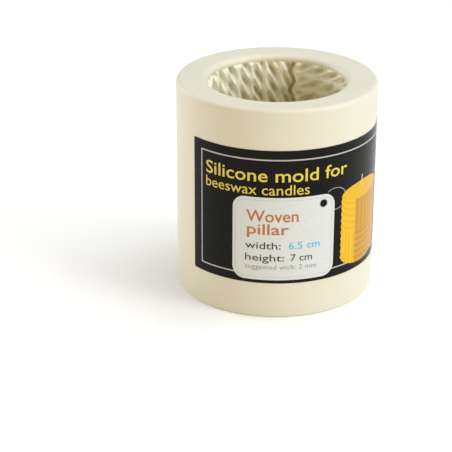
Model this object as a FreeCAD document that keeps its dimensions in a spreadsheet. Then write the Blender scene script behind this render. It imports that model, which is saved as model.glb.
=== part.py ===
"""Slit silicone candle mould: a thick soft cup that casts one round pillar candle.

The cup is one casting of silicone rubber, cut through along one side and across its base, so
that it opens like a book about the wall that is left whole. It is built here as the two halves
that swing and the strip of wall that flexes between them, with the printed label stuck round
the outside. The cavity wall carries the pattern of the candle in reverse: blocks of upright and
level ropes, set like a chequerboard in two bands.

Millimetres. +Z is up, the origin is the middle of the underside, the slit is on +Y and the
uncut wall is on -Y. Angles are counted from +X towards +Y.
"""

import FreeCAD, Part
import os

import Sketcher

DIMENSIONS = [
    ("outer_radius", 45.0, "outside of the silicone cup"),
    ("mould_height", 97.3, "foot to rim"),
    ("rim_round", 2.0, "rounding of the outer rim edge"),
    ("foot_round", 1.2, "rounding of the outer foot edge"),
    ("floor_height", 25.0, "thickness of the base under the candle"),
    ("core_radius", 30.3, "cavity wall at the ridges between the ropes"),
    ("lip_radius", 31.0, "plain opening above the ropes"),
    ("lip_bevel", 2.6, "bevel where the opening meets the rim"),
    ("end_margin", 0.3, "plain wall above and below the ropes"),
    ("rope_pitch", 7.0, "level rope to level rope"),
    ("rope_radius", 3.6, "radius of one rope channel"),
    ("rope_centre_radius", 28.8, "cavity axis to a rope's own axis"),
    ("rows_per_band", 5, "level ropes in one band"),
    ("ropes_per_block", 7, "upright ropes in one block"),
    ("block_sweep", 90.0, "degrees of the wall that one block takes"),
    ("block_start", 61.2, "degrees from +X to the first edge of a block"),
    ("wick_hole_radius", 1.2, "hole for the wick through the base"),
    ("slit_gap", 0.2, "width of the knife cut"),
    ("hinge_half_width", 10.0, "half of the strip that flexes"),
    ("hinge_inner_face", 27.0, "cavity axis to the inner face of the strip in the base"),
    ("cutter_margin", 5.0, "how far the dividing blocks reach past the cup"),
    ("glue_thickness", 0.05, "adhesive under the label"),
    ("label_thickness", 0.2, "printed film"),
    ("label_bottom", 16.8, "foot to the lower edge of the label"),
    ("label_height", 62.4, "height of the label"),
    ("label_start", 205.0, "degrees from +X to the label's left edge"),
    ("label_sweep", 150.0, "degrees of the wall that the label covers"),
]

doc = FreeCAD.newDocument("candle_mould")


def make_sheet():
    """The driving dimensions, one row each, with an alias for every value."""
    made = doc.addObject("Spreadsheet::Sheet", "Sizes")
    for row, (alias, value, meaning) in enumerate(DIMENSIONS, start=1):
        made.set(f"A{row}", meaning)
        made.set(f"B{row}", str(value))
        made.setAlias(f"B{row}", alias)
    doc.recompute()
    return made


sheet = make_sheet()


def size(alias):
    """The value of one driving dimension."""
    return float(sheet.get(alias))


def bind(thing, **sizes):
    """Ties properties of an object to expressions of the sheet's aliases."""
    for name, expression in sizes.items():
        thing.setExpression(name.replace("__", "."), expression)
    return thing


def primitive(kind, name, **sizes):
    """A Part primitive whose sizes follow the sheet."""
    return bind(doc.addObject(kind, name), **sizes)


def origin_plane(body, role):
    """One of a body's own origin planes."""
    return next(f for f in body.Origin.OriginFeatures if f.Role == role)


# --- the silicone cup before its ropes and its cut ---------------------------------------------


def cup_outline(sketch):
    """Half of the cup's section: wick hole, foot, wall, rounded rim, bevelled lip and floor."""
    outer, height = size("outer_radius"), size("mould_height")
    foot, rim = size("foot_round"), size("rim_round")
    hole, core = size("wick_hole_radius"), size("core_radius")
    lip, bevel, floor = size("lip_radius"), size("lip_bevel"), size("floor_height")
    ropes_end = "Sizes.floor_height + 2 * (Sizes.rows_per_band * Sizes.rope_pitch + Sizes.end_margin)"
    shelf = floor + 2 * (size("rows_per_band") * size("rope_pitch") + size("end_margin"))
    corners = [
        (hole, 0, "Sizes.wick_hole_radius", None),
        (outer - foot, 0, "Sizes.outer_radius - Sizes.foot_round", None),
        (outer, foot, "Sizes.outer_radius", "Sizes.foot_round"),
        (outer, height - rim, "Sizes.outer_radius", "Sizes.mould_height - Sizes.rim_round"),
        (outer - rim, height, "Sizes.outer_radius - Sizes.rim_round", "Sizes.mould_height"),
        (lip + bevel, height, "Sizes.lip_radius + Sizes.lip_bevel", "Sizes.mould_height"),
        (lip, height - bevel, "Sizes.lip_radius", "Sizes.mould_height - Sizes.lip_bevel"),
        (lip, shelf, "Sizes.lip_radius", ropes_end),
        (core, shelf, "Sizes.core_radius", ropes_end),
        (core, floor, "Sizes.core_radius", "Sizes.floor_height"),
        (hole, floor, "Sizes.wick_hole_radius", "Sizes.floor_height"),
    ]
    arcs = {1: (outer - foot, foot), 3: (outer - rim, height - rim)}
    points = [FreeCAD.Vector(x, y, 0) for x, y, _, _ in corners]
    for index, start in enumerate(points):
        end = points[(index + 1) % len(points)]
        if index in arcs:
            middle = FreeCAD.Vector(*arcs[index], 0)
            radius = (start - middle).Length
            turn = -90 if index == 1 else 0
            circle = Part.Circle(middle, FreeCAD.Vector(0, 0, 1), radius)
            low, high = (FreeCAD.Units.Quantity(f"{a} deg").getValueAs("rad").Value
                         for a in (turn, turn + 90))
            sketch.addGeometry(Part.ArcOfCircle(circle, low, high), False)
        else:
            sketch.addGeometry(Part.LineSegment(start, end), False)
    for index in range(len(points)):
        sketch.addConstraint(
            Sketcher.Constraint("Coincident", index, 2, (index + 1) % len(points), 1)
        )
    for index, (x, y, across, up) in enumerate(corners):
        at = sketch.addConstraint(Sketcher.Constraint("DistanceX", -1, 1, index, 1, x))
        sketch.setExpression(f"Constraints[{at}]", across)
        if up is None:
            sketch.addConstraint(Sketcher.Constraint("PointOnObject", index, 1, -1))
        else:
            at = sketch.addConstraint(Sketcher.Constraint("DistanceY", -1, 1, index, 1, y))
            sketch.setExpression(f"Constraints[{at}]", up)
    for index, alias in ((1, "foot_round"), (3, "rim_round")):
        at = sketch.addConstraint(Sketcher.Constraint("Radius", index, size(alias)))
        sketch.setExpression(f"Constraints[{at}]", "Sizes." + alias)


def make_cup():
    """The cup with a plain bore: one revolved section."""
    body = doc.addObject("PartDesign::Body", "CupBody")
    sketch = body.newObject("Sketcher::SketchObject", "CupSection")
    sketch.AttachmentSupport = [(origin_plane(body, "XZ_Plane"), "")]
    sketch.MapMode = "FlatFace"
    cup_outline(sketch)
    doc.recompute()
    turned = body.newObject("PartDesign::Revolution", "CupTurned")
    turned.Profile = sketch
    turned.ReferenceAxis = (sketch, ["V_Axis"])
    turned.Angle = 360
    body.Tip = turned
    doc.recompute()
    return body


# --- the rope channels in the cavity wall ------------------------------------------------------


def upright_ropes(band, block):
    """Upright channels of one block: straight round grooves side by side."""
    made = []
    count = int(size("ropes_per_block"))
    for rope in range(count):
        channel = primitive(
            "Part::Cylinder",
            f"UprightRope_{band}_{block}_{rope}",
            Radius="Sizes.rope_radius",
            Height="Sizes.rows_per_band * Sizes.rope_pitch",
        )
        angle = f"Sizes.block_start + Sizes.block_sweep * ({block} + ({rope} + 0.5) / Sizes.ropes_per_block)"
        bind(
            channel,
            Placement__Base__x=f"Sizes.rope_centre_radius * cos(({angle}) * 1deg)",
            Placement__Base__y=f"Sizes.rope_centre_radius * sin(({angle}) * 1deg)",
            Placement__Base__z="Sizes.floor_height + Sizes.end_margin"
            f" + {band} * Sizes.rows_per_band * Sizes.rope_pitch",
        )
        made.append(channel)
    return made


def level_ropes(band, block):
    """Level channels of one block: quarter rings stacked one above the other."""
    made = []
    rows = int(size("rows_per_band"))
    turn = FreeCAD.Rotation(FreeCAD.Vector(0, 0, 1), size("block_start") + block * size("block_sweep"))
    for row in range(rows):
        channel = primitive(
            "Part::Torus",
            f"LevelRope_{band}_{block}_{row}",
            Radius1="Sizes.rope_centre_radius",
            Radius2="Sizes.rope_radius",
            Angle3="Sizes.block_sweep",
        )
        channel.Placement = FreeCAD.Placement(FreeCAD.Vector(0, 0, 0), turn)
        bind(
            channel,
            Placement__Base__z="Sizes.floor_height + Sizes.end_margin"
            f" + ({band} * Sizes.rows_per_band + {row} + 0.5) * Sizes.rope_pitch",
        )
        made.append(channel)
    return made


def make_rope_pattern():
    """All the channels as one tool: two bands of blocks, upright and level by turns."""
    channels = []
    blocks = round(360 / size("block_sweep"))
    for band in (0, 1):
        for block in range(blocks):
            upright = (band + block) % 2 == 1
            channels += upright_ropes(band, block) if upright else level_ropes(band, block)
    pattern = doc.addObject("Part::MultiFuse", "RopePattern")
    pattern.Shapes = channels
    return pattern


# --- dividing the cup ----------------------------------------------------------------------------


def side_block(name, side):
    """The space on one side of the knife cut: +1 is +X, -1 is -X."""
    block = primitive(
        "Part::Box",
        name,
        Length="Sizes.outer_radius + Sizes.cutter_margin",
        Width="2 * (Sizes.outer_radius + Sizes.cutter_margin)",
        Height="Sizes.mould_height + 2 * Sizes.cutter_margin",
    )
    near = "Sizes.slit_gap / 2"
    bind(
        block,
        Placement__Base__x=near if side > 0 else f"-{near} - Sizes.outer_radius - Sizes.cutter_margin",
        Placement__Base__y="-Sizes.outer_radius - Sizes.cutter_margin",
        Placement__Base__z="-Sizes.cutter_margin",
    )
    return block


def hinge_block(name):
    """The space of the strip of uncut wall."""
    block = primitive(
        "Part::Box",
        name,
        Length="2 * Sizes.hinge_half_width",
        Width="Sizes.outer_radius + Sizes.cutter_margin - Sizes.hinge_inner_face",
        Height="Sizes.mould_height + 2 * Sizes.cutter_margin",
    )
    bind(
        block,
        Placement__Base__x="-Sizes.hinge_half_width",
        Placement__Base__y="-Sizes.outer_radius - Sizes.cutter_margin",
        Placement__Base__z="-Sizes.cutter_margin",
    )
    return block


def boolean(kind, name, base, tool):
    """A Part::Cut or Part::Common of two objects."""
    made = doc.addObject(kind, name)
    made.Base, made.Tool = base, tool
    return made


def make_half(name, silicone, side):
    """One swinging half of the cup, without the flexing strip."""
    half = boolean("Part::Common", name + "_side", silicone, side_block(name + "_space", side))
    made = boolean("Part::Cut", name, half, hinge_block(name + "_strip_space"))
    made.Label = name
    return made


def make_living_hinge(silicone):
    """The strip of wall and base left whole opposite the slit."""
    made = boolean("Part::Common", "living_hinge", silicone, hinge_block("living_hinge_space"))
    made.Label = "living_hinge"
    return made


# --- the label -----------------------------------------------------------------------------------


def label_sector(name, radius):
    """A pie slice of the label's height and sweep."""
    sector = primitive(
        "Part::Cylinder",
        name,
        Radius=radius,
        Height="Sizes.label_height",
        Angle="Sizes.label_sweep",
    )
    turn = FreeCAD.Rotation(FreeCAD.Vector(0, 0, 1), size("label_start"))
    sector.Placement = FreeCAD.Placement(FreeCAD.Vector(0, 0, 0), turn)
    bind(sector, Placement__Base__z="Sizes.label_bottom")
    return sector


def make_label():
    """The printed film, bent round the front of the cup."""
    inside = "Sizes.outer_radius + Sizes.glue_thickness"
    made = boolean(
        "Part::Cut",
        "label",
        label_sector("LabelOutside", inside + " + Sizes.label_thickness"),
        label_sector("LabelInside", inside),
    )
    made.Label = "label"
    return made


# --- checks and files ------------------------------------------------------------------------------


def check(nodes):
    """Stops if any object failed, or a node is not made of valid closed solids."""
    failed = [o.Name for o in doc.Objects if {"Invalid", "Error"} & set(o.State)]
    if failed:
        raise RuntimeError(f"these objects failed: {failed}")
    for node in nodes:
        shape = node.Shape
        if shape.isNull() or not shape.isValid() or not shape.Solids:
            raise RuntimeError(f"{node.Label} has no valid solid")
        print(f"{node.Label}: {len(shape.Solids)} solid, {shape.Volume / 1000:.2f} cm3")


def main():
    cup = make_cup()
    pattern = make_rope_pattern()
    silicone = boolean("Part::Cut", "Silicone", cup, pattern)
    doc.recompute()
    removed = cup.Shape.Volume - silicone.Shape.Volume
    if removed <= 0:
        raise RuntimeError("the rope channels cut nothing")
    print(f"rope channels take {removed / 1000:.2f} cm3")
    nodes = [
        make_half("left_half", silicone, -1),
        make_half("right_half", silicone, 1),
        make_living_hinge(silicone),
        make_label(),
    ]
    doc.recompute()
    check(nodes)
    os.makedirs("parts", exist_ok=True)
    for node in nodes:
        node.Shape.exportStep(os.path.join("parts", node.Label + ".step"))


main()
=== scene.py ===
"""Looks of a slit silicone candle mould.

The cup is one casting of cream silicone with a knife cut down one side. Its cavity carries
blocks of twisted ropes in reverse, and a black printed label goes round its front. Lengths
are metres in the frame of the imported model: the middle of the underside is the origin, +Z is
up and the cut is on +Y.
"""

import math

import bmesh
import bpy
import numpy as np
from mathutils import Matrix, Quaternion, Vector
from mathutils.geometry import tessellate_polygon


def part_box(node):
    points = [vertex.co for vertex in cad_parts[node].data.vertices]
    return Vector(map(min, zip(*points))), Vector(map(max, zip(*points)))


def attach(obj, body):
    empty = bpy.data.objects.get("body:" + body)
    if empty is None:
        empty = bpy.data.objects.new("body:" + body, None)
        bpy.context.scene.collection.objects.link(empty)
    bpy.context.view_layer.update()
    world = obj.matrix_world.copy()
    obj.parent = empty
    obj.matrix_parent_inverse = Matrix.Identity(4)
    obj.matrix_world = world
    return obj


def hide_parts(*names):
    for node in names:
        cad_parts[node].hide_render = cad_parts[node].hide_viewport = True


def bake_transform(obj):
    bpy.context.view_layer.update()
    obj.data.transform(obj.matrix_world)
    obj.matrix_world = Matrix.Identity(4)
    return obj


bl_info = {
    "name": "Slit candle mould",
    "version": (1, 0, 0),
    "blender": (4, 5, 0),
    "location": "3D View > Sidebar > Mould",
    "description": "Casts the silicone cup, prints its label and sets the stage",
    "category": "Add Mesh",
}

MM = 0.001
DEGREE = math.pi / 180
REST_PLACE = "rest_place"
FACET = 1 * MM  # width of one facet of the curved label

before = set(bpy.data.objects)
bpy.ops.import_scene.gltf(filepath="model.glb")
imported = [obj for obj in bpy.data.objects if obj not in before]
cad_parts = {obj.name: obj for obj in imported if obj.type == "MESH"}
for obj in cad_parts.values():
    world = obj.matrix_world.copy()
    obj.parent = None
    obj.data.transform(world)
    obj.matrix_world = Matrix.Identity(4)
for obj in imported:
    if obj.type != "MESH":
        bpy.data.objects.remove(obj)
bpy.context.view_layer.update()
LEFT_LOW, LEFT_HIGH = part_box("left_half")
LABEL_LOW, LABEL_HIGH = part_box("label")


# --- sizes and colours ---------------------------------------------------------------------------


def length(name, description, default):
    """A length property, shown in the scene's units."""
    return bpy.props.FloatProperty(
        name=name, description=description, default=default, unit="LENGTH", precision=5
    )


def turn(name, description, degrees):
    """An angle property, given in degrees."""
    return bpy.props.FloatProperty(
        name=name, description=description, default=degrees * DEGREE, unit="ROTATION"
    )


def colour(name, description, default):
    """A linear colour property."""
    return bpy.props.FloatVectorProperty(
        name=name, description=description, default=default, size=3, subtype="COLOR", min=0, max=1
    )


class CupSizes(bpy.types.PropertyGroup):
    """Sizes of the silicone cup."""

    outer_radius: length("Outer radius", "Outside of the cup", -LEFT_LOW.x)
    height: length("Height", "Foot to rim", LEFT_HIGH.z)
    rim_round: length("Rim rounding", "Rounding of the outer rim edge", 2.0 * MM)
    foot_round: length("Foot rounding", "Rounding of the outer foot edge", 1.2 * MM)
    floor: length("Floor", "Thickness of the base under the candle", 25 * MM)
    lip_radius: length("Lip radius", "Plain opening above the ropes", 31.0 * MM)
    lip_width: length("Lip width", "How far the soft inner edge spreads over the rim", 3.6 * MM)
    lip_drop: length("Lip drop", "How far the soft inner edge drops below the rim", 2.6 * MM)
    ridge_radius: length("Ridge radius", "Cavity wall at the ridges between the ropes", 30.3 * MM)
    wick_radius: length("Wick hole radius", "Hole for the wick through the base", 1.2 * MM)
    cut_gap: length("Cut gap", "How far the two faces of the knife cut stand apart", 0.02 * MM)
    cut_softness: length("Cut softness", "How deep the edges of the cut are rounded", 0.12 * MM)
    cut_wear: length("Cut wear", "How much more they are rounded in the cavity", 0.5 * MM)
    strip_half: length("Strip half width", "Half of the strip of wall that flexes", 10 * MM)
    strip_face: length("Strip face", "Axis to the inner face of the strip in the base", 27 * MM)
    grain: length("Mesh grain", "Size of one face in the cavity wall", 0.4 * MM)


class RopeSizes(bpy.types.PropertyGroup):
    """Sizes of the twisted ropes that the cavity wall carries in reverse."""

    centre_radius: length("Rope circle", "Axis of the cavity to the axis of a rope", 29.05 * MM)
    thickness: length("Rope thickness", "Diameter of one rope", 6.7 * MM)
    pitch: length("Rope pitch", "One level rope to the next", 7 * MM)
    lay: length("Lay", "Length of one full twist of a strand", 24.5 * MM)
    start: length("First rope", "Height where the ropes begin", 25.3 * MM)
    wander: length("Wander", "How far a rope strays to either side", 0.3 * MM)
    sway: length("Sway", "How far a block's sides swing to and fro", 0.8 * MM)
    sink: length("Sink", "How much shallower the level ropes lie", 0.1 * MM)
    fin: length("Fin", "Height of the thin ridges between blocks over the other ridges", 0.4 * MM)
    groove: length("Groove", "How much deeper an upright rope lies at a block's side", 0.3 * MM)
    tuck: length("Tuck", "How far rope ends dive under their neighbours", 2.2 * MM)
    tuck_reach: length("Tuck reach", "Length of rope over which an end dives", 3.2 * MM)
    block_start: turn("Block start", "From +X to the first edge of a block", 61.2)
    rows: bpy.props.IntProperty(name="Rows", description="Level ropes in a band", default=5)
    columns: bpy.props.IntProperty(name="Columns", description="Upright ropes a block", default=7)
    blocks: bpy.props.IntProperty(name="Blocks", description="Blocks round one band", default=4)


class LabelSizes(bpy.types.PropertyGroup):
    """Sizes of the printed film and of what is printed on it."""

    inner_radius: length("Film inside", "Radius of the film's glued side", 45.05 * MM)
    film: length("Film", "Thickness of the film", 0.1 * MM)
    ink: length("Ink", "Thickness of a printed layer", 0.02 * MM)
    bottom: length("Bottom", "Foot to the lower edge", LABEL_LOW.z)
    top: length("Top", "Foot to the upper edge", LABEL_HIGH.z)
    left: turn("Left edge", "From the uncut wall's middle", -65)
    right: turn("Right edge", "From the uncut wall's middle", 85)
    side_inset: length("Side inset", "Left and right edges to the silver line", 4.9 * MM)
    inset: length("Inset", "Upper and lower edges to the silver line", 4.0 * MM)
    line: length("Line width", "Width of the silver line", 0.6 * MM)


class Colours(bpy.types.PropertyGroup):
    """Colours of the silicone, the film and the inks."""

    silicone: colour("Silicone", "Outside of the cup", (0.75, 0.735, 0.60))
    # Painted light: the upper cavity wall is painted lighter than the outside silicone.
    cavity: colour("Cavity", "Upper cavity wall, touched by little wax", (0.97, 0.955, 0.79))
    # Painted shade: the lower cavity wall is painted darker and yellower, where less light reaches.
    cavity_shade: colour("Stain", "Lower cavity wall, stained by the wax", (0.77, 0.70, 0.41))
    # Painted shade for the deepest places of the ropes, where shade falls.
    crevice_shade: colour("Crevice", "Deepest places of the ropes", (0.44, 0.37, 0.14))
    film: colour("Film", "Black of the label", (0.004, 0.004, 0.0035))
    heading: colour("Heading", "Yellow of the heading", (0.76, 0.62, 0.06))
    silver: colour("Silver", "Line round the label", (0.50, 0.50, 0.47))
    tag: colour("Tag", "White of the printed tag", (0.69, 0.735, 0.73))
    title: colour("Title", "Brown of the tag's title", (0.46, 0.155, 0.025))
    figures: colour("Figures", "Blue of the tag's figures", (0.12, 0.50, 0.78))
    dark: colour("Dark ink", "Black lettering on the tag", (0.03, 0.03, 0.03))
    grey: colour("Grey ink", "Small lettering and the string", (0.30, 0.30, 0.30))
    wax: colour("Wax", "Light side of the printed candle", (0.86, 0.50, 0.004))
    wax_shade: colour("Wax shade", "Shaded side of the printed candle", (0.62, 0.315, 0.012))


# --- shader maths --------------------------------------------------------------------------------


class Value:
    """A number that a node gives. Arithmetic on it adds Math nodes."""

    def __init__(self, finish, socket):
        self.finish, self.socket = finish, socket

    def math(self, operation, *others):
        return self.finish.add("ShaderNodeMath", {"operation": operation}, self, *others)

    def __add__(self, other):
        return self.math("ADD", other)

    __radd__ = __add__

    def __mul__(self, other):
        return self.math("MULTIPLY", other)

    __rmul__ = __mul__

    def __sub__(self, other):
        return self.math("SUBTRACT", other)

    def __rsub__(self, other):
        return self * -1 + other

    def __truediv__(self, other):
        return self.math("DIVIDE", other)

    def __pow__(self, other):
        return self.math("POWER", other)

    def step(self, low, high):
        """0 below low, 1 above high, smooth between."""
        return self.finish.add(
            "ShaderNodeMapRange", {"interpolation_type": "SMOOTHSTEP"}, self, low, high, 0.0, 1.0
        )


class Finish:
    """A material in the making."""

    def __init__(self, name):
        self.material = bpy.data.materials.new(name)
        self.material.use_nodes = True
        self.nodes = self.material.node_tree.nodes
        self.links = self.material.node_tree.links
        self.shader = self.nodes["Principled BSDF"]

    def add(self, kind, settings, *values, output=0, **named):
        """Adds a node: its settings first, then values or links for its sockets."""
        node = self.nodes.new(kind)
        for name, setting in settings.items():
            setattr(node, name, setting)
        sockets = [s for s in node.inputs if s.enabled]
        pairs = list(zip(sockets, values)) + [
            (node.inputs[name.replace("_", " ")], value) for name, value in named.items()
        ]
        for socket, value in pairs:
            self.feed(socket, value)
        outputs = [s for s in node.outputs if s.enabled]
        return Value(self, outputs[output] if isinstance(output, int) else node.outputs[output])

    def feed(self, socket, value):
        """Links a Value to a socket, or sets a plain value on it."""
        if isinstance(value, Value):
            self.links.new(value.socket, socket)
        elif value is not None:
            socket.default_value = value

    def set(self, **values):
        """Sets or links sockets of the surface."""
        for name, value in values.items():
            self.feed(self.shader.inputs[name.replace("_", " ")], value)
        return self

    def place(self):
        """The place on the object at rest, in metres, which stays on a piece that bends."""
        return self.add("ShaderNodeAttribute", {"attribute_name": REST_PLACE}, output="Vector")

    def axes(self, place):
        """The X, Y and Z of a place."""
        node = self.nodes.new("ShaderNodeSeparateXYZ")
        self.feed(node.inputs[0], place)
        return [Value(self, s) for s in node.outputs]

    def vector(self, x, y, z):
        return self.add("ShaderNodeCombineXYZ", {}, x, y, z)

    def noise(self, place, scale, detail=2.0, roughness=0.5):
        return self.add(
            "ShaderNodeTexNoise", {}, place, Scale=scale, Detail=detail, Roughness=roughness
        )

    def mix(self, factor, low, high):
        """A colour between two."""
        settings = {"data_type": "RGBA"}
        low, high = (c if isinstance(c, Value) else (*c, 1) for c in (low, high))
        return self.add("ShaderNodeMix", settings, factor, low, high)

    def bump(self, height, distance, strength=1.0, normal=None):
        return self.add(
            "ShaderNodeBump", {}, Strength=strength, Distance=distance, Height=height, Normal=normal
        )


def keep_place(mesh):
    """Stores the rest place of every point of a mesh, for the patterns to read."""
    place = np.empty(3 * len(mesh.vertices), np.float32)
    mesh.vertices.foreach_get("co", place)
    mesh.attributes.new(REST_PLACE, "FLOAT_VECTOR", "POINT").data.foreach_set("vector", place)


def tinted(shade, amount):
    """A colour made lighter or darker."""
    return tuple(min(1, c * amount) for c in shade)


def silicone_finish(colours, cup):
    """Cream silicone: satin outside and duller in the cavity, with painted light on the upper
    cavity wall and painted shade on the lower wall and in the deepest places of the ropes.
    """
    skin = Finish("silicone")
    place = skin.place()
    x, y, z = skin.axes(place)
    radius = (x * x + y * y) ** 0.5
    lip_low = cup.height - cup.lip_drop
    between = z.step(cup.floor - 2 * MM, cup.floor - 1 * MM) * (
        1 - z.step(lip_low - 1.2 * MM, lip_low + 0.4 * MM)
    )
    inside = (1 - radius.step(cup.lip_radius + 2 * MM, cup.lip_radius + 3 * MM)) * between
    # Painted shade: the deepest places of the rope wall are masked here and darkened towards the
    # crevice shade below.
    deep = radius.step(cup.ridge_radius + 1.35 * MM, cup.ridge_radius + 2.3 * MM) * inside
    cloud = skin.noise(place, 38.0, 3.0)
    fleck = skin.noise(place, 900.0, 2.0, 0.6)
    outer = skin.mix(cloud, tinted(colours.silicone, 0.965), tinted(colours.silicone, 1.03))
    patch = skin.noise(place, 260.0, 2.0)
    # Lit and shaded copies of the cavity colour, mixed by height: painted light above, painted
    # shade below.
    upper = skin.mix(patch, tinted(colours.cavity, 0.88), tinted(colours.cavity, 1.05))
    lower = skin.mix(patch, tinted(colours.cavity_shade, 0.86), tinted(colours.cavity_shade, 1.12))
    painted_light_height = z.step(cup.height - 30 * MM, cup.height - 8 * MM)
    base = skin.mix(inside, outer, skin.mix(painted_light_height, lower, upper))
    # Painted shade in the deepest places of the ropes, patchy in strength.
    base = skin.mix(deep * (patch.step(0.3, 0.6) * 0.4 + 0.5), base, colours.crevice_shade)
    base = skin.mix(fleck.step(0.68, 0.76) * 0.25, base, tinted(colours.silicone, 0.80))
    drag = skin.noise(skin.vector(x * 60, y * 60, z * 900), 1.0, 3.0)
    pores = skin.add(
        "ShaderNodeTexVoronoi", {"feature": "F1"}, place, Scale=420.0, output="Distance"
    )
    pits = 1 - pores.step(0.0, 0.16)
    roughness = 0.34 + cloud * 0.10 + fleck * 0.06 + inside * 0.10
    relief = drag * 0.35 + fleck * 0.35 - pits * 0.9
    skin.set(Base_Color=base, Roughness=roughness, Normal=skin.bump(relief, 0.04 * MM, 0.35))
    skin.set(IOR=1.41, Specular_IOR_Level=0.5)
    return skin.material


def film_finish(colours):
    """Black gloss film with the faint orange peel and handling marks of a real label."""
    film = Finish("label_film")
    place = film.place()
    x, y, z = film.axes(place)
    peel = film.noise(place, 520.0, 2.0)
    rub = film.noise(film.vector(x * 40, y * 40, z * 700), 1.0, 4.0, 0.6)
    smear = film.noise(place, 45.0, 3.0)
    base = film.mix(smear, tinted(colours.film, 0.8), tinted(colours.film, 1.6))
    roughness = 0.20 + rub.step(0.45, 0.75) * 0.10 + smear * 0.06
    film.set(Base_Color=base, Roughness=roughness, Normal=film.bump(peel, 0.02 * MM, 0.3))
    film.set(Specular_IOR_Level=0.13)
    return film.material


def ink_finish(name, shade, roughness=0.32):
    """A printed ink, with the slight mottle of a full tone on film."""
    ink = Finish(name)
    place = ink.place()
    mottle = ink.noise(place, 700.0, 3.0, 0.6)
    base = ink.mix(mottle, tinted(shade, 0.985), tinted(shade, 1.01))
    ink.set(
        Base_Color=base,
        Roughness=mottle * 0.06 + (roughness - 0.03),
        Normal=ink.bump(mottle, 0.005 * MM, 0.15),
    )
    return ink.material


def picture_finish(colours, picture):
    """A printed pillar candle: light and dark blocks of upright and level ropes."""
    wax = Finish("printed_candle")
    x, y, z = wax.axes(wax.place())
    bend = wax.add("ShaderNodeMath", {"operation": "ARCTAN2"}, x, y * -1)
    across = (bend * picture.radius - picture.middle) / picture.half_width
    across = across.math("MAXIMUM", -0.995).math("MINIMUM", 0.995)
    round_turn = across.math("ARCSINE")
    sag = (1 - across * across) ** 0.5 * picture.sag
    level = (z + sag - picture.low) / (picture.high - picture.low)
    right = across.step(-0.44, -0.38)
    upper = level.step(0.485, 0.515)
    upright = right * upper + (1 - right) * (1 - upper)
    posts = (round_turn * 28.0).math("SINE") * 0.5 + 0.5
    rows = (level * 2 * math.pi * 10).math("SINE") * 0.5 + 0.5
    twist = (round_turn * 28.0 + level * 120.0).math("SINE") * 0.5 + 0.5
    weave = upright * posts + (1 - upright) * rows
    weave = weave * 0.7 + twist * 0.3
    top = wax.add(
        "ShaderNodeMath",
        {"operation": "LESS_THAN"},
        (across * across + ((z - picture.high) / picture.top_rise) ** 2.0),
        1.0,
    )
    light = wax.mix(right, colours.wax, colours.wax_shade)
    dark = wax.mix(right, tinted(colours.wax, 0.86), tinted(colours.wax_shade, 0.80))
    base = wax.mix(weave.step(0.15, 0.75), dark, light)
    lid = wax.mix(across * 0.5 + 0.5, tinted(colours.wax, 0.92), tinted(colours.wax, 0.80))
    wax.set(Base_Color=wax.mix(top, base, lid), Roughness=weave * 0.06 + 0.28)
    wax.set(Specular_IOR_Level=0.3)
    return wax.material


# --- the silicone cup ----------------------------------------------------------------------------


def smooth(value):
    """0 below 0, 1 above 1, smooth between."""
    value = np.clip(value, 0, 1)
    return value * value * (3 - 2 * value)


def strand_height(across, along, twist, ropes):
    """Height of a three-strand rope over its own axis, at a place across and along it."""
    reach, strand = 0.262 * ropes.thickness, 0.238 * ropes.thickness
    height = np.full(np.shape(across), -ropes.thickness)
    for k in range(3):
        phase = twist * 2 * np.pi * along / ropes.lay + k * 2 * np.pi / 3
        aside = across - reach * np.cos(phase)
        dome = strand**2 - aside**2
        rise = reach * np.sin(phase) + np.sqrt(np.maximum(dome, 0))
        height = np.where(dome > 0, np.maximum(height, rise), height)
    return height


def rope_wall(turn, z, cup, ropes):
    """Radius of the cavity wall at angles from +X towards +Y and at heights."""
    sweep = 2 * np.pi / ropes.blocks
    band_height = ropes.rows * ropes.pitch
    sway = ropes.sway / ropes.centre_radius * np.sin(z / (1.5 * MM) + 1.45)
    local = np.mod(turn - ropes.block_start + sway, 2 * np.pi)
    block = np.floor(local / sweep)
    from_start = local - block * sweep
    from_side = np.minimum(from_start, sweep - from_start) * ropes.centre_radius
    within = from_start - sway
    climb = z - ropes.start
    band = np.clip(np.floor(climb / band_height), 0, 1)
    upright = (band + block) % 2 == 1

    step = sweep / ropes.columns
    post = np.clip(np.floor(within / step), 0, ropes.columns - 1)
    aside = (within - (post + 0.5) * step) * ropes.centre_radius
    aside = aside + ropes.wander * np.sin(z / (6.5 * MM) + post * 2.4 + block)
    posts = strand_height(aside, z + (post * 1.9 + block) * MM, -1, ropes)
    posts -= ropes.tuck * (1 - smooth(np.abs(climb - band_height) / ropes.tuck_reach))
    side = 0.5 * ropes.thickness + ropes.groove
    posts = np.maximum(posts, side * np.exp(-(((from_side - 1.6 * MM) / (1.3 * MM)) ** 4)))

    row = np.clip(np.floor((climb - band * band_height) / ropes.pitch), 0, ropes.rows - 1)
    above = climb - band * band_height - (row + 0.5) * ropes.pitch
    along = within * ropes.centre_radius
    above = above + ropes.wander * np.sin(along / (6.5 * MM) + row * 1.7 + block)
    rows = strand_height(above, along + (row * 2.3 + block) * MM, 1, ropes) - ropes.sink
    rows -= ropes.tuck * (1 - smooth(from_side / ropes.tuck_reach))

    height = np.where(upright, posts, rows)
    seam = np.minimum(from_side, np.abs(climb - band_height))
    fin = ropes.fin * np.exp(-((seam / (0.7 * MM)) ** 2))
    return np.maximum(ropes.centre_radius + height, cup.ridge_radius - fin)


def soft_rope_wall(turn, z, cup, ropes):
    """The rope wall with its creases filled a little, as a rubber cast has them."""
    blur = 0.22 * MM
    spread = blur / ropes.centre_radius
    total = 2 * rope_wall(turn, z, cup, ropes)
    for aside, up in ((1, 0), (-1, 0), (0, 1), (0, -1)):
        total += rope_wall(turn + aside * spread, z + up * blur, cup, ropes)
    return total / 6


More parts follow.
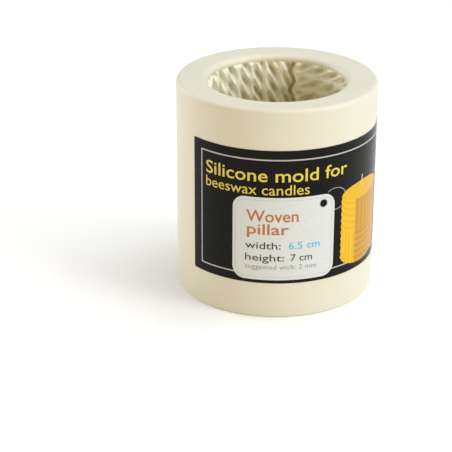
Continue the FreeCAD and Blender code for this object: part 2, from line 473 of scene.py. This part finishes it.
class Section:
    """The cup's section as one closed line of rows, from the axis outwards, up and back in.

    Each row has a radius and a height, how far it follows the rope wall, and how far it
    follows the strip's flat inner face in place of its own radius.
    """

    def __init__(self):
        self.rows, self.marks, self.creased = [], {}, []

    def row(self, radius, z, wall=0.0, face=0.0):
        self.rows.append((radius, z, wall, face))
        return self

    def mark(self, name):
        self.marks[name] = len(self.rows) - 1
        return self

    def crease(self):
        self.creased.append(len(self.rows) - 1)
        return self

    def line(self, start, end, count, **follow):
        """Rows between two places, without the first."""
        for t in np.linspace(0, 1, count + 1)[1:]:
            self.row(*(a + (b - a) * t for a, b in zip(start, end)), **follow)
        return self

    def arc(self, centre, across, up, start, end, count):
        """Rows on a quarter of an ellipse, without the first."""
        for t in np.linspace(start, end, count + 1)[1:] * DEGREE:
            self.row(centre[0] + across * math.cos(t), centre[1] + up * math.sin(t))
        return self

    def radius(self, away, cup, ropes):
        """Radius of every row at angles away from the cut, positive towards +X."""
        base, z, wall, face = (np.array(column)[:, None] for column in zip(*self.rows))
        radius = np.broadcast_to(base, away.shape).copy()
        ropes_at = wall[:, 0] > 0
        turned = soft_rope_wall(np.pi / 2 - away[ropes_at], z[ropes_at], cup, ropes)
        radius[ropes_at] += wall[ropes_at] * (turned - radius[ropes_at])
        flat = cup.strip_face / np.maximum(np.cos(np.pi - away), 0.1)
        return radius + face * (flat - radius)

    def outward(self):
        """Direction out of the silicone at every row, in the plane of the section."""
        line = np.array([row[:2] for row in self.rows])
        along = np.roll(line, -1, 0) - np.roll(line, 1, 0)
        along /= np.linalg.norm(along, axis=1)[:, None]
        return np.stack([along[:, 1], -along[:, 0]], 1)


def outer_rows(section, cup):
    """Foot edge, outside, rounded rim edge, rim, soft lip and rope wall down to the floor."""
    outer, top = cup.outer_radius, cup.height
    foot, rim, lip = cup.foot_round, cup.rim_round, cup.lip_width
    ropes_top = cup.height - cup.lip_drop - 1.6 * MM
    section.arc((outer - foot, foot), foot, foot, -90, 0, 6)
    section.line((outer, foot), (outer, top - rim), 26)
    section.arc((outer - rim, top - rim), rim, rim, 0, 90, 8)
    section.line((outer - rim, top), (cup.lip_radius + lip, top), 5)
    section.arc((cup.lip_radius + lip, top - cup.lip_drop), -lip, cup.lip_drop, 90, 0, 12)
    for drop, wall in ((0.2, 0.03), (0.5, 0.2), (0.8, 0.45), (1.1, 0.75), (1.35, 0.95)):
        section.row(cup.lip_radius, top - cup.lip_drop - drop * MM, wall=wall)
    wall_low = cup.floor + 0.5 * MM
    count = round((ropes_top - wall_low) / cup.grain)
    section.line((cup.lip_radius, ropes_top), (cup.lip_radius, wall_low), count, wall=1.0)
    section.row(cup.ridge_radius, cup.floor + 0.25 * MM, wall=0.5)
    section.row(cup.ridge_radius, cup.floor).crease()


def half_section(cup):
    """Section of a swinging half."""
    corner = math.hypot(cup.strip_half, cup.strip_face)
    section = Section().row(cup.wick_radius, 0).crease()
    section.line((cup.wick_radius, 0), (cup.strip_face, 0), 4).mark("foot_face")
    section.row(corner, 0).mark("foot_corner")
    section.line((corner, 0), (cup.outer_radius - cup.foot_round, 0), 4)
    outer_rows(section, cup)
    section.line((cup.ridge_radius, cup.floor), (corner, cup.floor), 2).mark("floor_corner")
    section.row(cup.strip_face, cup.floor).mark("floor_face")
    section.line((cup.strip_face, cup.floor), (cup.wick_radius, cup.floor), 6).crease()
    section.line((cup.wick_radius, cup.floor), (cup.wick_radius, 0), 4)
    section.rows.pop()
    return section


def strip_section(cup):
    """Section of the strip of wall and base left whole."""
    foot = cup.outer_radius - cup.foot_round
    section = Section().row(foot, 0, face=1.0).crease()
    for face in (0.75, 0.5, 0.25, 0.0):
        section.row(foot, 0, face=face)
    outer_rows(section, cup)
    for face in (0.5, 1.0):
        section.row(cup.ridge_radius, cup.floor, face=face)
    section.crease()
    for z in (0.75, 0.5, 0.25):
        section.row(cup.ridge_radius, cup.floor * z, face=1.0)
    return section


def strip_edge(radius, cup, base=True):
    """Angle away from the cut where a circle of this radius meets the strip's side."""
    side = np.pi - np.arcsin(np.minimum(cup.strip_half / radius, 1))
    corner = math.hypot(cup.strip_half, cup.strip_face)
    if not base:
        return side
    face = np.pi - np.arccos(np.clip(cup.strip_face / radius, 0, 1))
    middle = np.pi - np.arcsin(cup.cut_gap / 2 / radius)
    return np.where(radius >= corner - 1e-9, side, np.where(radius > cup.strip_face, face, middle))


def settle(section, cup, ropes, edge, sign):
    """The angle of an edge on every row, where the edge's angle depends on the wall's radius."""
    radius = np.array([[row[0]] for row in section.rows])
    for _ in range(8):
        away = edge(radius)
        radius = section.radius(sign * away, cup, ropes)
    return away[:, 0]


def half_lines(section, side, cup, ropes):
    """Points of a half's skin: one line per row of the section, from the cut to the strip."""
    start = settle(section, cup, ropes, lambda r: np.arcsin(cup.cut_gap / 2 / r), side)
    end = settle(section, cup, ropes, lambda r: strip_edge(r, cup), side)
    by_the_cut = np.array([0, 0.0006, 0.0016, 0.0032, 0.006])
    count = round(np.pi * cup.lip_radius / cup.grain)
    share = np.concatenate([by_the_cut, np.linspace(0.01, 1, count)])
    away = start[:, None] + share * (end - start)[:, None]
    radius = section.radius(side * away, cup, ropes)
    from_cut = (away - start[:, None]) * radius
    depth = cup.cut_softness * np.exp(-from_cut / (0.16 * MM))
    wall = np.array([[row[2]] for row in section.rows])
    depth += wall * cup.cut_wear * np.exp(-from_cut / (0.5 * MM))
    outward = section.outward()
    radius = radius - outward[:, :1] * depth
    z = np.array([[row[1]] for row in section.rows]) - outward[:, 1:] * depth
    points = np.stack([side * radius * np.sin(away), radius * np.cos(away), z], 2)
    points[:, 0, 0] = side * cup.cut_gap / 2
    return points


def strip_lines(section, cup, ropes):
    """Points of the strip's skin: one line per row of the section, from +X to -X."""
    edges = [
        settle(section, cup, ropes, lambda r: strip_edge(r, cup, base=False), side)
        for side in (1, -1)
    ]
    count = round(2 * cup.strip_half / cup.grain)
    share = np.linspace(0, 1, count + 1)
    away = edges[0][:, None] + share * (2 * np.pi - edges[1] - edges[0])[:, None]
    radius = section.radius(away, cup, ropes)
    z = np.broadcast_to(np.array([[row[1]] for row in section.rows]), radius.shape)
    points = np.stack([radius * np.sin(away), radius * np.cos(away), z], 2)
    points[:, 0, 0], points[:, -1, 0] = cup.strip_half, -cup.strip_half
    return points


def skin_mesh(name, points, caps, creased, material):
    """A closed mesh from the lines of a skin and the flat faces that cap it.

    A cap is a column of the grid, the rows of that column that bound it in turn, and the
    axis that it faces.
    """
    rows, columns = points.shape[:2]
    mesh_maker = bmesh.new()
    verts = [mesh_maker.verts.new(p) for p in points.reshape(-1, 3).tolist()]
    for i in range(rows):
        low, high = i * columns, (i + 1) % rows * columns
        for j in range(columns - 1):
            corners = (low + j, low + j + 1, high + j + 1, high + j)
            mesh_maker.faces.new([verts[c] for c in corners]).smooth = True
    for column, ring, axis in caps:
        place = [points[row, column] for row in ring]
        flat = [Vector((p[1 - axis], p[2], 0)) for p in place]
        for triangle in tessellate_polygon([flat]):
            mesh_maker.faces.new([verts[ring[k] * columns + column] for k in triangle])
    for edge in mesh_maker.edges:
        on_rows = {vert.index // columns for vert in edge.verts}
        on_crease = len(on_rows) == 1 and on_rows <= set(creased)
        edge.smooth = all(face.smooth for face in edge.link_faces) and not on_crease
    bmesh.ops.recalc_face_normals(mesh_maker, faces=mesh_maker.faces)
    mesh = bpy.data.meshes.new(name)
    mesh_maker.to_mesh(mesh)
    mesh_maker.free()
    keep_place(mesh)
    mesh.materials.append(material)
    piece = bpy.data.objects.new(name, mesh)
    bpy.context.collection.objects.link(piece)
    return piece


def cast_half(side, cup, ropes, material):
    """One swinging half of the cup: side is 1 for +X and -1 for -X."""
    section = half_section(cup)
    points = half_lines(section, side, cup, ropes)
    rows, last = len(section.rows), points.shape[1] - 1
    at = section.marks
    inner = list(range(at["floor_face"], rows)) + list(range(at["foot_face"] + 1))
    caps = [
        (0, list(range(rows)), 0),
        (last, list(range(at["foot_corner"], at["floor_corner"] + 1)), 0),
        (last, [at["foot_face"], at["foot_corner"], at["floor_corner"], at["floor_face"]], 1),
        (last, inner, 0),
    ]
    name = "silicone_right" if side > 0 else "silicone_left"
    return skin_mesh(name, points, caps, section.creased, material)


def cast_strip(cup, ropes, material):
    """The strip of wall that bends."""
    section = strip_section(cup)
    points = strip_lines(section, cup, ropes)
    ring = list(range(len(section.rows)))
    caps = [(0, ring, 0), (points.shape[1] - 1, ring, 0)]
    return skin_mesh("silicone_hinge", points, caps, section.creased, material)


# --- the label and its print ---------------------------------------------------------------------


def arc_length(degrees, label):
    """Length round the film's outside from the middle of the uncut wall."""
    return degrees * DEGREE * (label.inner_radius + label.film)


def flat_outline(name, outlines):
    """A flat filled curve from closed outlines: the first is the edge, the others holes."""
    curve = bpy.data.curves.new(name, "CURVE")
    curve.dimensions, curve.fill_mode = "2D", "BOTH"
    for outline in outlines:
        spline = curve.splines.new("POLY")
        spline.points.add(len(outline) - 1)
        for point, (x, y) in zip(spline.points, outline):
            point.co = (x, y, 0, 1)
        spline.use_cyclic_u = True
    return curve


def rounded_box(left, right, low, high, radius, steps=8):
    """Outline of a box with round corners, anticlockwise."""
    points = []
    corners = ((right, high, 0), (left, high, 90), (left, low, 180), (right, low, 270))
    for x, y, begin in corners:
        x += -radius if x == right else radius
        y += -radius if y == high else radius
        for step in range(steps + 1):
            t = (begin + 90 * step / steps) * DEGREE
            points.append((x + radius * math.cos(t), y + radius * math.sin(t)))
    return points


def ring(x, y, across, up, steps=40, start=0, sweep=360):
    """Points on an ellipse or a part of one."""
    whole = sweep == 360
    return [
        (x + across * math.cos(t), y + up * math.sin(t))
        for t in (
            (start + sweep * k / steps) * DEGREE for k in range(steps if whole else steps + 1)
        )
    ]


def ribbon(points, width):
    """Outline of a line of even width along open points."""
    line = np.array(points)
    along = np.gradient(line, axis=0)
    along /= np.linalg.norm(along, axis=1)[:, None]
    aside = np.stack([-along[:, 1], along[:, 0]], 1) * width / 2
    return [tuple(p) for p in np.concatenate([line + aside, (line - aside)[::-1]])]


def words_curve(words, left, baseline, capital, right=None, weight=0.0):
    """Lettering with its capitals this high, from left, and drawn out to right if it is given."""

    def plain(text):
        curve = bpy.data.curves.new("words", "FONT")
        curve.body, curve.resolution_u, curve.offset = text, 3, weight
        thing = bpy.data.objects.new("words", curve)
        bpy.context.collection.objects.link(thing)
        bpy.context.view_layer.update()
        box = [Vector(c) for c in thing.bound_box]
        return thing, min(c.x for c in box), max(c.x for c in box), max(c.y for c in box)

    gauge, _, _, cap_height = plain("H")
    bpy.data.objects.remove(gauge)
    thing, low, high, _ = plain(words)
    up = capital / cap_height
    across = up if right is None else (right - left) / (high - low)
    return thing, (left - low * across, baseline), (across, up)


def print_on_label(name, flat, label, layer, material, move=(0, 0), scale=(1, 1), under=None):
    """Wraps a flat curve or lettering round the cup as a thin closed sheet on the film."""
    thing = flat
    if isinstance(flat, bpy.types.Curve):
        thing = bpy.data.objects.new(name, flat)
        bpy.context.collection.objects.link(thing)
    thing.data.extrude = 0.5
    bpy.context.view_layer.update()
    graph = bpy.context.evaluated_depsgraph_get()
    mesh = bpy.data.meshes.new_from_object(thing.evaluated_get(graph))
    bpy.data.objects.remove(thing)
    maker = bmesh.new()
    maker.from_mesh(mesh)
    bmesh.ops.remove_doubles(maker, verts=maker.verts, dist=1e-6)
    for vert in maker.verts:
        vert.co.x = vert.co.x * scale[0] + move[0]
        vert.co.y = vert.co.y * scale[1] + move[1]
    low, high = (f(v.co.x for v in maker.verts) for f in (min, max))
    for k in range(math.floor(low / FACET) + 1, math.ceil(high / FACET)):
        everything = maker.verts[:] + maker.edges[:] + maker.faces[:]
        bmesh.ops.bisect_plane(
            maker, geom=everything, dist=1e-7, plane_co=(k * FACET, 0, 0), plane_no=(1, 0, 0)
        )
    outside = label.inner_radius + label.film
    top = outside + layer * label.ink
    bottom = outside - 0.25 * label.ink if under is None else under
    for vert in maker.verts:
        x, y, z = vert.co
        away = x / outside
        radius = top if z > 0 else bottom
        vert.co = (radius * math.sin(away), -radius * math.cos(away), y)
    bmesh.ops.recalc_face_normals(maker, faces=maker.faces)
    for face in maker.faces:
        face.smooth = True
    for edge in maker.edges:
        if len(edge.link_faces) != 2 or edge.calc_face_angle(0) > 40 * DEGREE:
            edge.smooth = False
    maker.to_mesh(mesh)
    maker.free()
    keep_place(mesh)
    mesh.name = name
    mesh.materials.clear()
    mesh.materials.append(material)
    piece = bpy.data.objects.new(name, mesh)
    bpy.context.collection.objects.link(piece)
    return bend_with_wall(piece)


def bend_with_wall(piece):
    """Bakes the piece's placement into its mesh and hands it back."""
    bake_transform(piece)
    return piece


def print_words(name, words, material, left, baseline, capital, right=None, layer=3, weight=0.0):
    """One line of lettering, placed by degrees from the uncut wall's middle."""
    label = bpy.context.scene.mould_label
    ends = [None if a is None else arc_length(a, label) for a in (left, right)]
    thing, move, scale = words_curve(words, ends[0], baseline, capital, ends[1], weight)
    return print_on_label(name, thing, label, layer, material, move, scale)


# --- operators -----------------------------------------------------------------------------------


class MOULD_OT_cast_cup(bpy.types.Operator):
    """Casts the two halves of the cup and the strip of wall between them"""

    bl_idname = "mould.cast_cup"
    bl_label = "Cast the cup"

    def execute(self, context):
        cup, ropes = context.scene.mould_cup, context.scene.mould_ropes
        silicone = silicone_finish(context.scene.mould_colours, cup)
        for side, body, node in ((-1, "left_side", "left_half"), (1, "right_side", "right_half")):
            half = cast_half(side, cup, ropes, silicone)
            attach(half, body)
            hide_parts(node)
        strip = bend_with_wall(cast_strip(cup, ropes, silicone))
        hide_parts("living_hinge")
        return {"FINISHED"}


class MOULD_OT_stick_label(bpy.types.Operator):
    """Wraps the black film round the cup"""

    bl_idname = "mould.stick_label"
    bl_label = "Stick the label"

    def execute(self, context):
        label = context.scene.mould_label
        left, right = (arc_length(a / DEGREE, label) for a in (label.left, label.right))
        outline = rounded_box(left, right, label.bottom, label.top, 0.6 * MM, 4)
        film = print_on_label(
            "label_sheet",
            flat_outline("film", [outline]),
            label,
            0,
            film_finish(context.scene.mould_colours),
            under=label.inner_radius,
        )
        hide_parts("label")
        return {"FINISHED"}


class MOULD_OT_print_line(bpy.types.Operator):
    """Prints the silver line round the label"""

    bl_idname = "mould.print_line"
    bl_label = "Print the silver line"

    def execute(self, context):
        label = context.scene.mould_label
        ink = ink_finish("silver_ink", context.scene.mould_colours.silver, 0.3)
        left, right = (arc_length(a / DEGREE, label) for a in (label.left, label.right))
        edges = [
            rounded_box(
                left + label.side_inset + s,
                right - label.side_inset - s,
                label.bottom + label.inset + s,
                label.top - label.inset - s,
                0.3 * MM,
                3,
            )
            for s in (0, label.line)
        ]
        print_on_label("silver_line", flat_outline("line", edges), label, 1, ink)
        return {"FINISHED"}


class MOULD_OT_print_heading(bpy.types.Operator):
    """Prints the two yellow lines of the heading"""

    bl_idname = "mould.print_heading"
    bl_label = "Print the heading"

    def execute(self, context):
        ink = ink_finish("heading_ink", context.scene.mould_colours.heading)
        print_words(
            "heading_upper", "Silicone mold for", ink, -54.9, 64.9 * MM, 5.8 * MM, 30.4, 1, 0.008
        )
        print_words("heading_lower", "beeswax candles", ink, -54.9, 58.8 * MM, 4.7 * MM, 6.2, 1)
        return {"FINISHED"}


class MOULD_OT_print_tag(bpy.types.Operator):
    """Prints the white tag, its hole, its fine edge line and its string"""

    bl_idname = "mould.print_tag"
    bl_label = "Print the tag"

    def execute(self, context):
        label, colours = context.scene.mould_label, context.scene.mould_colours
        left, right = arc_length(-37, label), arc_length(22, label)
        low, high = 18.4 * MM, 57.6 * MM
        hole_x, hole_y = arc_length(14.8, label), 53.4 * MM
        tag = [
            rounded_box(left, right, low, high, 5.5 * MM),
            ring(hole_x, hole_y, 1.75 * MM, 1.75 * MM),
        ]
        white = ink_finish("tag_ink", colours.tag, 0.28)
        print_on_label("tag_sheet", flat_outline("tag", tag), label, 2, white)
        grey = ink_finish("grey_ink", colours.grey, 0.35)
        pale = ink_finish("edge_ink", tinted(colours.tag, 0.72), 0.3)
        edge = [
            rounded_box(left + s, right - s, low + s, high - s, 5.5 * MM - s)
            for s in (1.3 * MM, 1.5 * MM)
        ]
        print_on_label("tag_edge_line", flat_outline("edge", edge), label, 3, pale)
        eyelet = [ring(hole_x, hole_y, r, r) for r in (2.1 * MM, 1.75 * MM)]
        print_on_label("tag_eyelet", flat_outline("eyelet", eyelet), label, 3, pale)
        loop_x, loop_y = arc_length(22.5, label), 54.3 * MM
        loop = ring(loop_x, loop_y, 6.0 * MM, 5.1 * MM, steps=36, start=-132, sweep=264)
        string = flat_outline("string", [ribbon(loop, 0.4 * MM)])
        print_on_label("tag_string", string, label, 1, grey)
        return {"FINISHED"}


class MOULD_OT_print_tag_lines(bpy.types.Operator):
    """Prints the title and the lines of sizes on the tag"""

    bl_idname = "mould.print_tag_lines"
    bl_label = "Print the tag's lines"

    def execute(self, context):
        colours = context.scene.mould_colours
        title = ink_finish("title_ink", colours.title)
        dark = ink_finish("dark_ink", colours.dark)
        blue = ink_finish("figures_ink", colours.figures)
        grey = ink_finish("small_ink", colours.grey)
        for name, words, ink, left, baseline, capital, right, weight in (
            ("title_upper", "Woven", title, -29.0, 46.2, 5.4, 0.2, 0.012),
            ("title_lower", "pillar", title, -28.5, 40.2, 5.0, -5.0, 0.012),
            ("width_words", "width:", dark, -29.5, 33.3, 3.3, -9.5, 0.008),
            ("width_figures", "6.5 cm", blue, -5.1, 33.3, 3.3, 13.0, 0.012),
            ("height_words", "height:", dark, -29.5, 27.5, 3.3, -7.5, 0.008),
            ("height_figures", "7 cm", dark, -4.0, 27.5, 3.3, 8.5, 0.008),
            ("wick_words", "suggested wick: 2 mm", grey, -29.5, 23.6, 2.2, 11.1, 0.004),
        ):
            print_words(
                name, words, ink, left, baseline * MM, capital * MM, right, weight=weight
            )
        return {"FINISHED"}


class Picture:
    """Place and size of the printed candle, in metres round the film and up."""

    def __init__(self, label):
        self.radius = label.inner_radius + label.film
        self.middle = arc_length(46.2, label)
        self.half_width = 14.6 * MM
        self.low, self.high = 24.6 * MM, 54.3 * MM
        self.sag, self.top_rise = 5.2 * MM, 4.1 * MM

    def outline(self):
        """Rope-edged silhouette: scalloped sides, the sagging foot and the top's far edge."""
        points = []
        for t in np.linspace(0, 180, 61)[:-1] * DEGREE:
            points.append((math.cos(t), self.high + self.top_rise * math.sin(t)))
        for z in np.linspace(self.high, self.low, 80):
            points.append((-1 - 0.035 * abs(math.sin(z / MM * 1.06)), z))
        for t in np.linspace(180, 360, 61)[1:-1] * DEGREE:
            bump = 0.02 * abs(math.sin(t * 9))
            points.append((math.cos(t), self.low + self.sag * math.sin(t) * (1 + bump)))
        for z in np.linspace(self.low, self.high, 80):
            points.append((1 + 0.035 * abs(math.sin(z / MM * 1.06)), z))
        return [(self.middle + x * self.half_width, z) for x, z in points]


class MOULD_OT_print_picture(bpy.types.Operator):
    """Prints the candle that the mould casts"""

    bl_idname = "mould.print_picture"
    bl_label = "Print the candle"

    def execute(self, context):
        label, colours = context.scene.mould_label, context.scene.mould_colours
        picture = Picture(label)
        wax = picture_finish(colours, picture)
        print_on_label("candle_print", flat_outline("wax", [picture.outline()]), label, 2, wax)
        wick_line = ((-1.0, 55.6), (-1.4, 58.2), (-1.2, 61.0))
        wick = [(picture.middle + x * MM, z * MM) for x, z in wick_line]
        pale = ink_finish("wick_ink", (0.80, 0.68, 0.30))
        print_on_label("wick_print", flat_outline("wick", [ribbon(wick, 0.6 * MM)]), label, 3, pale)
        return {"FINISHED"}


class MOULD_OT_set_stage(bpy.types.Operator):
    """Sets the pale floor, the studio lights and the camera"""

    bl_idname = "mould.set_stage"
    bl_label = "Set the stage"

    def execute(self, context):
        scene = context.scene
        scene.view_settings.view_transform = "Standard"
        bpy.ops.mesh.primitive_plane_add(size=8, location=(0, 0, 0))
        floor = context.object
        floor.name = "stage_floor"
        keep_place(floor.data)
        card = Finish("pale_card")
        speckle = card.noise(card.place(), 120.0, 2.0)
        shade = card.mix(speckle, (0.94, 0.94, 0.94), (0.96, 0.96, 0.96))
        card.set(Base_Color=shade, Roughness=0.9)
        card.set(Emission_Color=(1.0, 1.0, 1.0, 1.0), Emission_Strength=0.08)
        floor.data.materials.append(card.material)

        world = scene.world or bpy.data.worlds.new("studio")
        scene.world = world
        world.use_nodes = True
        sky = world.node_tree.nodes["Background"]
        sky.inputs["Color"].default_value = (1.0, 1.0, 1.0, 1)
        sky.inputs["Strength"].default_value = 0.24

        self.softbox("key", (1.05, -0.8, 0.6), 0.6, 7.7, (1.0, 1.0, 0.99))
        self.softbox("side", (-0.9, 0.85, 0.45), 0.7, 8.5, (0.90, 0.95, 1.0))
        self.softbox("warm", (-0.58, -0.69, 0.25), 0.3, 1.5, (1.0, 0.58, 0.05))
        self.softbox("over", (0.42, -0.1, 1.2), 1.0, 11.2, (0.98, 0.99, 1.0))
        self.camera(scene)
        return {"FINISHED"}

    def softbox(self, name, place, size, power, tint):
        """A square area light aimed at the cup."""
        light = bpy.data.lights.new(name, "AREA")
        light.size, light.energy, light.color = size, power, tint
        lamp = bpy.data.objects.new(name, light)
        lamp.location = place
        aim = Vector((0, 0, 0.05)) - Vector(place)
        lamp.rotation_mode = "QUATERNION"
        lamp.rotation_quaternion = aim.to_track_quat("-Z", "Y")
        bpy.context.collection.objects.link(lamp)

    def camera(self, scene):
        """A long lens in front and a little left of the uncut wall, looking down at the rim."""
        lens = bpy.data.cameras.new("camera")
        lens.lens, lens.sensor_width = 133.26, 36
        camera = bpy.data.objects.new("camera", lens)
        camera.location = (-0.1596, -0.6911, 0.3366)
        camera.rotation_mode = "QUATERNION"
        aim = Vector((0.1775, 0.8980, -0.4029)).to_track_quat("-Z", "Y")
        camera.rotation_quaternion = aim @ Quaternion((0, 0, 1), 0.0024)
        bpy.context.collection.objects.link(camera)
        scene.camera = camera


STEPS = (
    MOULD_OT_set_stage,
    MOULD_OT_cast_cup,
    MOULD_OT_stick_label,
    MOULD_OT_print_line,
    MOULD_OT_print_heading,
    MOULD_OT_print_tag,
    MOULD_OT_print_tag_lines,
    MOULD_OT_print_picture,
)


class MOULD_PT_steps(bpy.types.Panel):
    """Lists the mould's sizes and steps"""

    bl_idname = "MOULD_PT_steps"
    bl_label = "Slit candle mould"
    bl_space_type = "VIEW_3D"
    bl_region_type = "UI"
    bl_category = "Mould"

    def draw(self, context):
        layout = self.layout
        for group in ("mould_cup", "mould_ropes", "mould_label", "mould_colours"):
            settings = getattr(context.scene, group)
            box = layout.box()
            for name in settings.__annotations__:
                box.prop(settings, name)
        for step in STEPS:
            layout.operator(step.bl_idname)


GROUPS = {
    "mould_cup": CupSizes,
    "mould_ropes": RopeSizes,
    "mould_label": LabelSizes,
    "mould_colours": Colours,
}


def register():
    for name, group in GROUPS.items():
        bpy.utils.register_class(group)
        setattr(bpy.types.Scene, name, bpy.props.PointerProperty(type=group))
    for kind in (*STEPS, MOULD_PT_steps):
        bpy.utils.register_class(kind)


def unregister():
    for kind in (MOULD_PT_steps, *reversed(STEPS)):
        bpy.utils.unregister_class(kind)
    for name, group in reversed(GROUPS.items()):
        delattr(bpy.types.Scene, name)
        bpy.utils.unregister_class(group)


def main():
    register()
    for step in STEPS:
        group, name = step.bl_idname.split(".")
        getattr(getattr(bpy.ops, group), name)()


if __name__ == "__main__":
    main()
